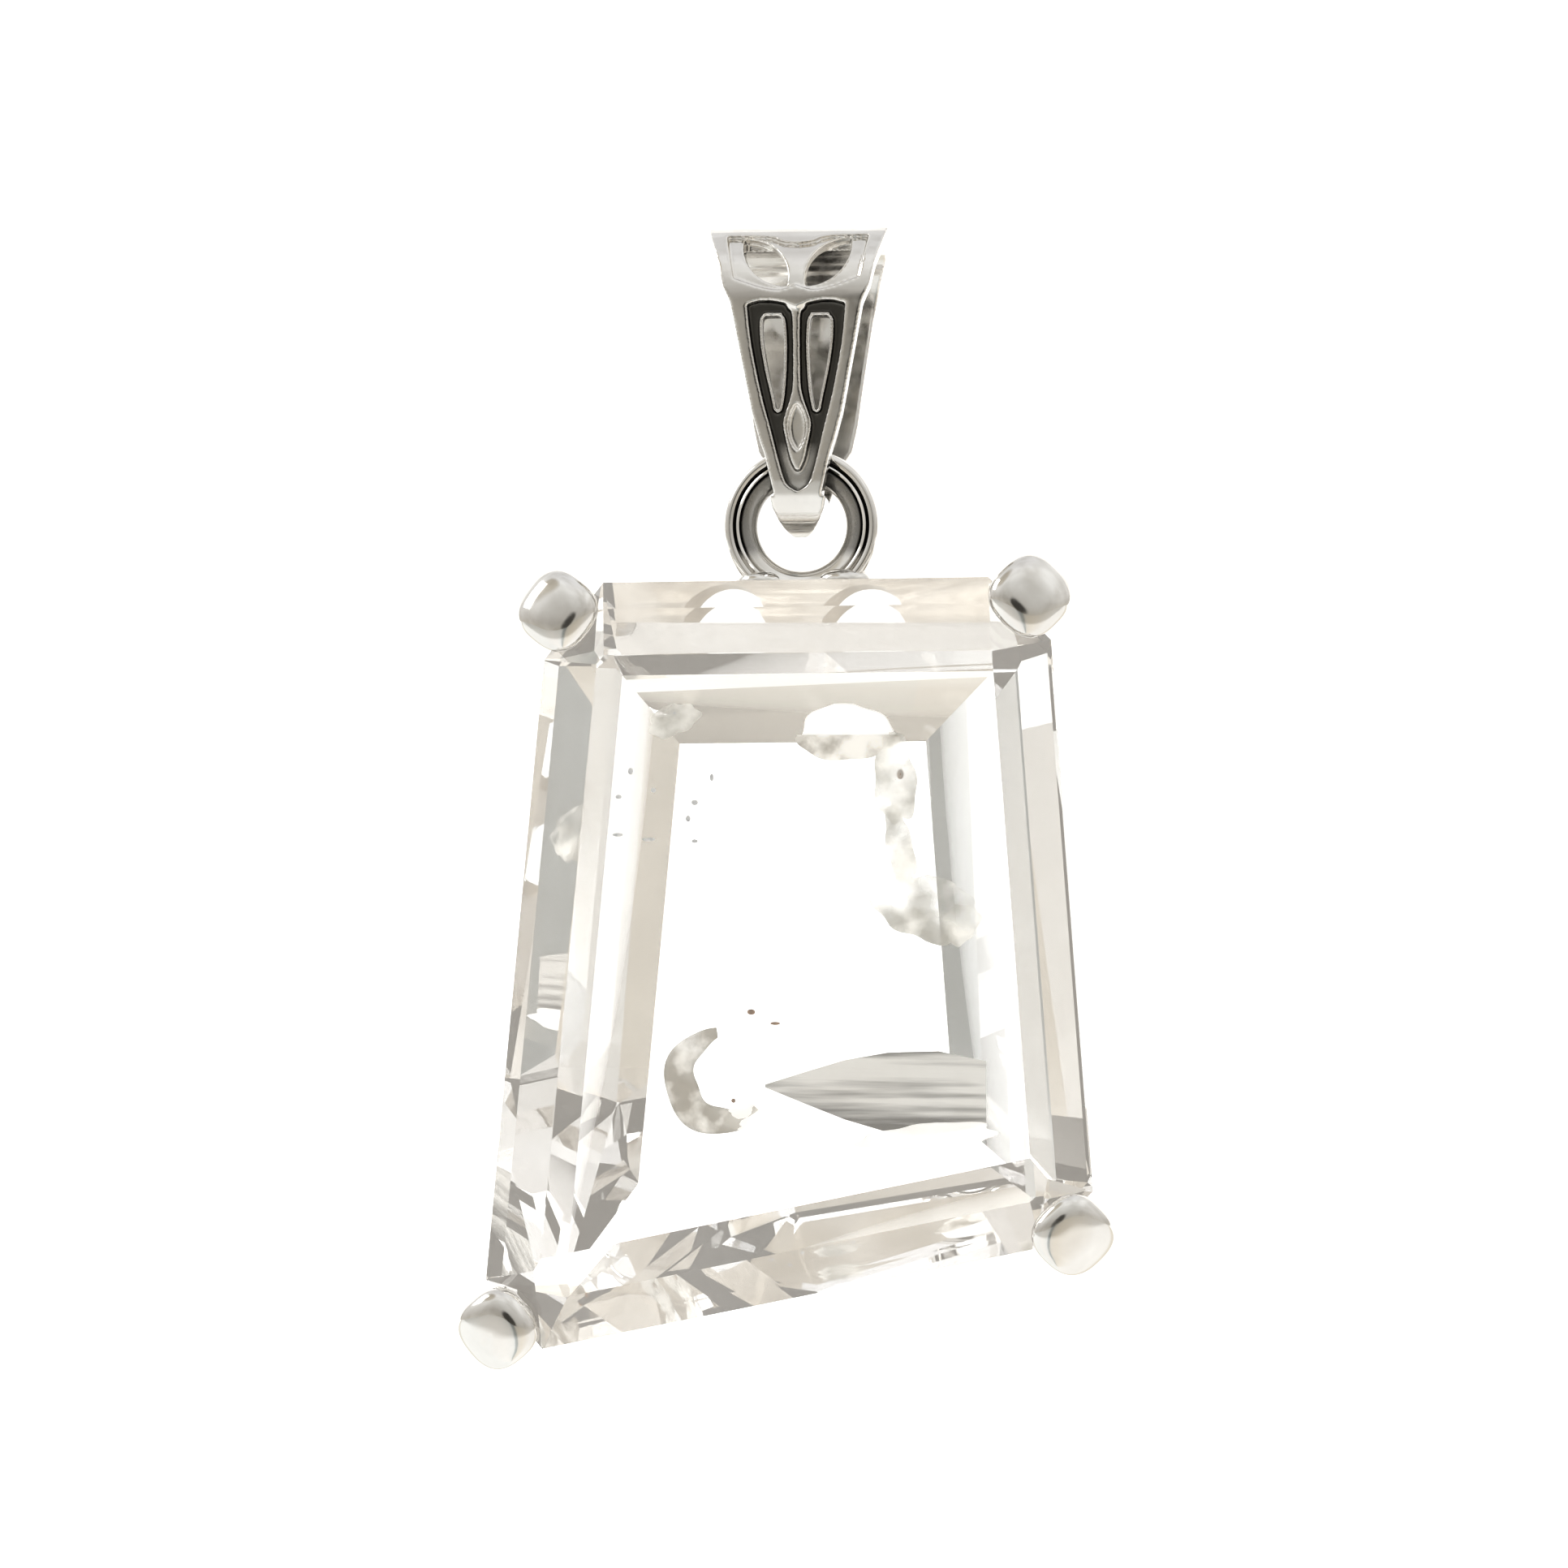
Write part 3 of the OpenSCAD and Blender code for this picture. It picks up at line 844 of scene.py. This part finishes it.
# Casting: the turn that keeps every edge off the grid of voxels, size of the voxels,
# strength and rounds of the smoothing, and the most triangles that are left
ASKEW = Euler((0.5, 0.7, 0.35)).to_matrix().to_4x4()
CAST_VOXEL = 0.04
CAST_FLOW, CAST_ROUNDS = 0.5, 8
CAST_TRIANGLES = 190000


def cast(obj):
    """Melts a solid's edges as casting and polishing do."""
    obj.data.transform(ASKEW)
    melt(obj, CAST_VOXEL, CAST_FLOW, CAST_ROUNDS)
    triangles = 2 * len(obj.data.polygons)
    if triangles > CAST_TRIANGLES:
        fewer = obj.modifiers.new("fewer", "DECIMATE")
        fewer.ratio = CAST_TRIANGLES / triangles
        apply_modifiers(obj)
    obj.data.transform(ASKEW.inverted())
    for polygon in obj.data.polygons:
        polygon.use_smooth = True


def store_oxide(obj, rule):
    """Stores on each point how dark it is: rule(x, y, z) in millimetres, 0 to 1."""
    mesh = obj.data
    points = np.empty(len(mesh.vertices) * 3)
    mesh.vertices.foreach_get("co", points)
    values = np.clip(rule(*points.reshape(-1, 3).T), 0, 1)
    attribute = mesh.attributes.new("oxide", "FLOAT", "POINT")
    attribute.data.foreach_set("value", values.astype(np.float32))


# Recess in the front of the bail, from the bottom up: [z, half width]
RECESS = (
    (-8.1, 0.0), (-7.85, 0.36), (-7.2, 0.58), (-6.1, 0.85), (-5.0, 1.14), (-3.4, 1.45),
    (-2.14, 1.58), (-2.04, 1.58),
)
# Its oxide lies before this y, between these heights and this far past its sides
RECESS_Y = -0.8
RECESS_LOW, RECESS_HIGH = -8.15, -1.95
RECESS_MARGIN = 0.05
# Depths below the face of the bail where the oxide starts and is full, and where it
# thins out again at the back of the openings; most oxide, and least at the back
OXIDE_STARTS, OXIDE_FULL = 0.2, 0.34
OXIDE_THINS, OXIDE_THIN = 0.52, 0.72
OXIDE_MOST, OXIDE_LEAST = 0.93, 0.25
# Wear shows the metal in the middle of the floor towards the bottom: heights and
# distances from the side over which it grows, and the most oxide that it takes
WEAR_FROM_Z, WEAR_TO_Z = -6.5, -7.3
WEAR_SIDE, WEAR_MIDDLE = 0.06, 0.18
WEAR_MOST = 0.62


def bail_oxide(x, y, z):
    depth = slot_depth(y, z)
    from_side = np.interp(z, *zip(*RECESS)) - np.abs(x)
    inside = (y < RECESS_Y) & (from_side > -RECESS_MARGIN) & (z < RECESS_HIGH) & (z > RECESS_LOW)
    floor = fade(depth, OXIDE_STARTS, OXIDE_FULL) * inside
    back = np.maximum(fade(depth, OXIDE_THIN, OXIDE_THINS), OXIDE_LEAST)
    worn = np.minimum(fade(z, WEAR_FROM_Z, WEAR_TO_Z), WEAR_MOST)
    return floor * back * (OXIDE_MOST - worn * fade(from_side, WEAR_SIDE, WEAR_MIDDLE))


def build_bail(material):
    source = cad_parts["bail"]
    mesh = source.data.copy()
    mesh.transform(Matrix.Scale(1 / MM, 4))
    bail = bpy.data.objects.new("cast_bail", mesh)
    bpy.context.scene.collection.objects.link(bail)
    cast(bail)
    store_oxide(bail, bail_oxide)
    place(bail, "bail", "bail_silver", material, "bail")


# Natural inclusions: they lie just under the table

INCLUSION_Y = -2.75
# Gas bubbles: [x, z, half width, half height]
BUBBLES = (
    (-5.68, -17.96, 0.10, 0.07),
    (-5.71, -19.18, 0.17, 0.06),
    (-4.70, -19.33, 0.22, 0.06),
    (-3.22, -18.14, 0.11, 0.09),
    (-3.22, -19.38, 0.10, 0.06),
    (-2.67, -17.34, 0.06, 0.12),
    (-5.29, -17.14, 0.08, 0.11),
    (-3.43, -18.66, 0.08, 0.10),
    (-3.87, -15.28, 0.10, 0.08),
    (-4.55, -17.75, 0.08, 0.08),
)
# Dark grains: [x, z, half width, half height]
GRAINS = (
    (-1.40, -24.84, 0.13, 0.09),
    (-0.63, -25.20, 0.16, 0.05),
    (-1.97, -27.68, 0.07, 0.07),
    (3.37, -17.24, 0.11, 0.16),
)
# Healed cracks as thin flakes: [material, name, x, z, half width, half height, turn in
# degrees, share of the half height where it is cut off above, and below]
FLAKES = (
    ("white_crack", "bright_flake", 1.66, -15.98, 1.50, 1.0, 0, 1.0, 0.0),
    ("grey_crack", "grey_flake", 1.66, -15.98, 1.66, 0.82, 0, 0.0, -1.0),
    ("cloud_crack", "drop_flake", 3.20, -17.36, 0.66, 1.5, 4, 1.0, -1.0),
    ("cloud_crack", "streak_flake", 3.35, -19.5, 0.42, 1.3, 12, 1.0, -1.0),
    ("cloud_crack", "cloud_flake", 4.20, -21.5, 1.65, 1.05, -14, 1.0, -1.0),
    ("white_crack", "low_flake", 4.3, -28.75, 2.2, 0.42, 5, 1.0, -1.0),
    ("white_crack", "chip_flake", -1.55, -28.2, 0.85, 0.42, 8, 1.0, -1.0),
    ("cloud_crack", "side_flake", 5.3, -22.0, 0.55, 0.7, -30, 1.0, -1.0),
    ("cloud_crack", "band_flake", -3.9, -15.5, 0.85, 0.5, 20, 1.0, -1.0),
)
# Half the thickness of every inclusion, and how ragged the edge of a flake is: share of
# its size, and waves round it
FLAKE_HALF = 0.05
RAGGED = 0.07
RAGGED_WAVES = (3, 7)
# Rings of points from the middle of a flake to its edge, as shares, and points round it
FLAKE_SHARES = (0.0, 0.3, 0.55, 0.75, 0.9, 0.97, 1.0)
FLAKE_SIDES = 48
# Large healed plane: [x, z of its lower edge, z of its upper edge]
HEALED = (
    (-0.95, -27.25, -27.15),
    (0.3, -27.75, -26.75),
    (1.6, -28.25, -26.35),
    (3.0, -28.65, -26.1),
    (4.6, -28.7, -26.05),
    (6.1, -28.4, -26.35),
)
# Curved crack: centre, radius and half width, and where it starts and ends in degrees
CRESCENT_AT = (-2.29, -26.95)
CRESCENT_R = 1.42
CRESCENT_HALF = 0.52
CRESCENT_FROM, CRESCENT_TO = 98, 318
# How blunt its tips are, how full its middle is, and the size and number of its waves
CRESCENT_TIP = 0.06
CRESCENT_POWER = 0.7
CRESCENT_WAVE, CRESCENT_WAVES = 0.05, 5
CRESCENT_STEPS, CRESCENT_SIDES = 40, 8
# Stretch of the noise in an inclusion: even, and drawn out into growth lines
EVENLY = (1, 1, 1)
IN_LINES = (0.2, 1, 3.6)
# Looks of the inclusions: [material, dark and pale tone with their places in the noise,
# least and most cover, stretch of the noise, its scale]
COATS = (
    ("white_crack", ((0.3, (0.9, 0.89, 0.86)), (0.7, (1.0, 1.0, 1.0))), (0.9, 1.0), EVENLY, 900),
    ("grey_crack", ((0.4, (0.32, 0.295, 0.25)), (0.6, (0.84, 0.82, 0.77))), (0.5, 1.0), EVENLY, 900),
    ("cloud_crack", ((0.4, (0.40, 0.39, 0.35)), (0.6, (0.80, 0.79, 0.75))), (0.1, 0.9), EVENLY, 900),
    ("lined_crack", ((0.42, (0.12, 0.115, 0.105)), (0.6, (0.62, 0.61, 0.58))), (0.8, 1.0), IN_LINES, 500),
    ("gas", ((0.3, (0.28, 0.29, 0.30)), (0.7, (0.62, 0.62, 0.61))), (0.8, 1.0), EVENLY, 6000),
    ("brown_grain", ((0.3, (0.08, 0.05, 0.03)), (0.7, (0.28, 0.17, 0.10))), (0.9, 1.0), EVENLY, 6000),
)
# The inclusions glow in their own tones: painted light that stands for the light reaching them through
# the stone.
COAT_GLOW = 0.55
COAT_ROUGHNESS = 0.35
# Gaps in the cover are this much coarser than its tones: scale of their noise
GAP_SCALE = 0.6


def inclusion_material(name, tones, cover, stretch, scale):
    """Milky crack surface: its own pale tone, see-through in patches, and glowing in that tone as painted
    light.
    """
    material, tree, shader = new_material(name)
    mapping = tree.nodes.new("ShaderNodeMapping")
    mapping.inputs["Scale"].default_value = stretch
    tree.links.new(object_coordinates(tree), mapping.inputs["Vector"])
    patches = add_noise(tree, scale, 4, mapping.outputs["Vector"])
    colour = add_ramp(tree, patches, tones)
    tree.links.new(colour, shader.inputs["Base Color"])
    tree.links.new(colour, shader.inputs["Emission Color"])
    shader.inputs["Emission Strength"].default_value = COAT_GLOW
    shader.inputs["Roughness"].default_value = COAT_ROUGHNESS
    gaps = add_noise(tree, scale * GAP_SCALE, 3, mapping.outputs["Vector"])
    low, high = cover
    covered = add_ramp(tree, gaps, ((0.35, grey(low)), (0.62, grey(high))))
    tree.links.new(covered, shader.inputs["Alpha"])
    return material


def thin_lens(name, point):
    """Closed flake, thickest in the middle: point(share, angle) gives its x and z."""
    front = [(share, -1) for share in FLAKE_SHARES]
    rings = front + [(share, 1) for share in reversed(FLAKE_SHARES[:-1])]
    steps = FLAKE_SIDES
    verts, faces = [], []
    for share, side in rings:
        bulge = side * FLAKE_HALF * math.sqrt(1 - share**2)
        for k in range(steps):
            x, z = point(share, 2 * math.pi * k / steps)
            verts.append((x, INCLUSION_Y + bulge, z))
    for row in range(len(rings) - 1):
        for k in range(steps):
            a, n = row * steps, (k + 1) % steps
            faces.append((a + k, a + n, a + steps + n, a + steps + k))
    return make_object(name, verts, faces)


def build_flake(row, material):
    name, x, z, half_w, half_h, turn, top, bottom = row
    c, s = math.cos(math.radians(turn)), math.sin(math.radians(turn))
    slow, quick = RAGGED_WAVES

    def point(share, a):
        waves = math.sin(slow * a + x) + math.sin(quick * a + z)
        ragged = 1 + RAGGED * waves * (top - bottom) / 2
        u = half_w * ragged * math.cos(a) * share
        v = half_h * min(max(ragged * math.sin(a) * share, bottom), top)
        return x + u * c - v * s, z + u * s + v * c

    place(thin_lens(name, point), "drop", "clear_quartz", material)


def build_healed(material):
    """Broad healed crack with straight growth lines, four points at each x."""
    verts = []
    for x, low, high in HEALED:
        middle = (low + high) / 2
        for z, y in ((low, 0), (middle, -FLAKE_HALF), (high, 0), (middle, FLAKE_HALF)):
            verts.append((x, INCLUSION_Y + y, z))
    faces = []
    for k in range(len(HEALED) - 1):
        for j in range(4):
            n = (j + 1) % 4
            faces.append((4 * k + j, 4 * k + n, 4 * k + 4 + n, 4 * k + 4 + j))
    last = len(verts) - 4
    faces += [(0, 1, 2, 3), (last, last + 1, last + 2, last + 3)]
    healed = make_object("healed_plane", verts, faces, smooth=False)
    place(healed, "drop", "clear_quartz", material)


def build_crescent(material):
    """Curved crack: a flat tube along an arc, with narrow tips."""
    steps, around = CRESCENT_STEPS, CRESCENT_SIDES
    verts = []
    for k in range(steps + 1):
        share = k / steps
        a = math.radians(CRESCENT_FROM + (CRESCENT_TO - CRESCENT_FROM) * share)
        along_arc = CRESCENT_TIP + (1 - 2 * CRESCENT_TIP) * share
        half = CRESCENT_HALF * math.sin(math.pi * along_arc) ** CRESCENT_POWER
        wave = CRESCENT_WAVE * math.sin(CRESCENT_WAVES * a)
        for j in range(around):
            b = 2 * math.pi * j / around
            r = CRESCENT_R + half * math.cos(b) + wave
            x = CRESCENT_AT[0] + r * math.cos(a)
            z = CRESCENT_AT[1] + r * math.sin(a)
            verts.append((x, INCLUSION_Y + FLAKE_HALF * math.sin(b), z))
    faces = []
    for k in range(steps):
        for j in range(around):
            n = (j + 1) % around
            a = k * around
            faces.append((a + j, a + n, a + around + n, a + around + j))
    faces.append(tuple(range(around)))
    faces.append(tuple(range(steps * around, (steps + 1) * around)))
    place(make_object("curved_crack", verts, faces), "drop", "clear_quartz", material)


def build_dots(name, table, material):
    """Small round inclusions as one piece."""
    verts, faces = [], []
    for x, z, half_w, half_h in table:
        half = (half_w, FLAKE_HALF, half_h)
        ellipsoid(verts, faces, (x, INCLUSION_Y, z), half, rings=8, sides=12)
    place(make_object(name, verts, faces), "drop", "clear_quartz", material)


def build_inclusions():
    coats = {row[0]: inclusion_material(*row) for row in COATS}
    build_dots("bubbles", BUBBLES, coats["gas"])
    build_dots("grains", GRAINS, coats["brown_grain"])
    for coat, *row in FLAKES:
        build_flake(row, coats[coat])
    build_healed(coats["lined_crack"])
    build_crescent(coats["grey_crack"])


# Camera, light and floor


def build_camera():
    turn = math.radians(VIEW_AZIMUTH)
    data = bpy.data.cameras.new("camera")
    data.sensor_width = SENSOR_WIDTH
    data.lens = FOCAL_PIXELS / FRAME_PIXELS * SENSOR_WIDTH
    data.clip_start = NEAREST
    camera = bpy.data.objects.new("camera", data)
    camera.location = VIEW_TARGET + VIEW_DISTANCE * Vector((math.sin(turn), -math.cos(turn), 0))
    camera.rotation_euler = (math.radians(90), 0, turn)
    bpy.context.scene.collection.objects.link(camera)
    bpy.context.scene.camera = camera


# Floor and backdrop, metres: how far the floor comes forward, its height, the backdrop's
# place and top, the radius of the sweep between them, and half the width
FLOOR_FRONT_Y = -0.6
FLOOR_Z = -0.085
BACKDROP_Y = 0.30
BACKDROP_TOP = 0.5
SWEEP_R = 0.12
SWEEP_STEPS = 12
STAGE_HALF = 0.9


def build_stage(material):
    """Pale floor well below the pendant, swept up into a backdrop."""
    sweep_y = BACKDROP_Y - SWEEP_R
    section = [(FLOOR_FRONT_Y, FLOOR_Z), (sweep_y, FLOOR_Z)]
    section += [
        (sweep_y + SWEEP_R * math.sin(a), FLOOR_Z + SWEEP_R * (1 - math.cos(a)))
        for a in np.linspace(0.1, math.pi / 2, SWEEP_STEPS)
    ]
    section.append((BACKDROP_Y, BACKDROP_TOP))
    verts = [(side * STAGE_HALF, y, z) for y, z in section for side in (-1, 1)]
    faces = [(2 * k, 2 * k + 1, 2 * k + 3, 2 * k + 2) for k in range(len(section) - 1)]
    mesh = bpy.data.meshes.new("floor")
    mesh.from_pydata(verts, [], faces)
    floor = bpy.data.objects.new("floor", mesh)
    bpy.context.scene.collection.objects.link(floor)
    for polygon in mesh.polygons:
        polygon.use_smooth = True
    mesh.materials.append(material)


# Room: [height of the view from straight down to straight up, colour]
ROOM = (
    (0.0, (0.22, 0.18, 0.13)), (0.25, (0.36, 0.32, 0.26)), (0.42, (0.55, 0.52, 0.46)),
    (0.55, (0.57, 0.55, 0.52)), (0.70, (0.74, 0.73, 0.71)), (0.85, (0.90, 0.90, 0.89)),
    (1.0, (0.74, 0.74, 0.75)),
)
ROOM_STRENGTH = 1.3
# The viewer shows as a small dark spot: [cosine of the angle to the viewer, shade]
VIEWER = ((0.55, (1.0, 1.0, 1.0)), (0.983, (0.77, 0.77, 0.76)), (0.9925, (0.09, 0.088, 0.085)))
# A tan screen up in front on the left: where it hangs in degrees, and
# [cosine of the angle to it, shade]
SCREEN_AZIMUTH, SCREEN_ELEVATION = -46, 47
SCREEN = ((0.945, (1.0, 1.0, 1.0)), (0.975, (0.60, 0.56, 0.49)))
# Soft patches of the room: scale of their noise, and their shades
CLOUD_SCALE = 2.6
CLOUDS = ((0.35, (0.80, 0.79, 0.77)), (0.65, (1.0, 1.0, 1.0)))
# Softbox: where it stands, where it points, its side in metres, and its power in watts
SOFTBOX_AT = (-0.27, -0.08, 0.19)
SOFTBOX_AIM = (0, 0, -0.015)
SOFTBOX_SIDE = 0.16
SOFTBOX_POWER = 0.25


def spot(tree, towards, azimuth, elevation, stops):
    """Shades a round part of the room about one direction."""
    turn, rise = math.radians(azimuth), math.radians(elevation)
    direction = (math.sin(turn) * math.cos(rise), -math.cos(turn) * math.cos(rise), math.sin(rise))
    facing = tree.nodes.new("ShaderNodeVectorMath")
    facing.operation = "DOT_PRODUCT"
    facing.inputs[1].default_value = direction
    tree.links.new(towards, facing.inputs[0])
    return add_ramp(tree, facing.outputs["Value"], stops)


def build_softbox():
    data = bpy.data.lights.new("softbox", "AREA")
    data.shape = "SQUARE"
    data.size = SOFTBOX_SIDE
    data.energy = SOFTBOX_POWER
    light = bpy.data.objects.new("softbox", data)
    light.location = SOFTBOX_AT
    aim = Vector(SOFTBOX_AIM) - Vector(SOFTBOX_AT)
    light.rotation_euler = aim.to_track_quat("-Z", "Y").to_euler()
    bpy.context.scene.collection.objects.link(light)


def build_light():
    """Soft studio light: a pale room with a dark spot where the viewer stands, a tan
    screen, and one softbox above the left shoulder."""
    world = bpy.data.worlds.new("studio")
    world.use_nodes = True
    tree = world.node_tree
    background = tree.nodes["Background"]
    towards = tree.nodes.new("ShaderNodeTexCoord").outputs["Generated"]
    split = tree.nodes.new("ShaderNodeSeparateXYZ")
    tree.links.new(towards, split.inputs["Vector"])
    room = add_ramp(tree, add_range(tree, split.outputs["Z"], -1, 1), ROOM)
    shade = multiply_colours(
        tree,
        spot(tree, towards, VIEW_AZIMUTH, 0, VIEWER),
        spot(tree, towards, SCREEN_AZIMUTH, SCREEN_ELEVATION, SCREEN),
    )
    clouds = add_ramp(tree, add_noise(tree, CLOUD_SCALE, 3, towards), CLOUDS)
    colour = multiply_colours(tree, multiply_colours(tree, room, shade), clouds)
    tree.links.new(colour, background.inputs["Color"])
    background.inputs["Strength"].default_value = ROOM_STRENGTH
    bpy.context.scene.world = world
    build_softbox()
    bpy.context.scene.view_settings.view_transform = "Standard"


def main():
    build_camera()
    build_stage(backdrop_material())
    build_light()
    bright = silver_material("setting_silver", wave=0.004, gloss=(0.06, 0.16))
    darkened = oxidised_material("ring_silver", wave=0.003, gloss=(0.08, 0.18))
    # Silver inside the setting and on the walls of its openings: darker tones that are painted shade, and
    # a glow that is painted light.
    inside = shaded_inside_material("shaded_inside_silver", INSIDE_SHADE_TONES, INSIDE_GLOW)
    rim = shaded_inside_material("shaded_opening_silver", RIM_SHADE_TONES, RIM_GLOW)
    build_gallery(bright, inside, rim)
    for i, name in enumerate(PRONGS):
        build_prong(i, name, bright, inside)
    build_ring(darkened)
    build_solder(bright)
    build_bail(oxidised_material("bail_silver", wave=0.0018, gloss=(0.08, 0.2)))
    build_inclusions()
    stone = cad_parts["stone"]
    stone.data.materials.clear()
    stone.data.materials.append(quartz_material())


main()
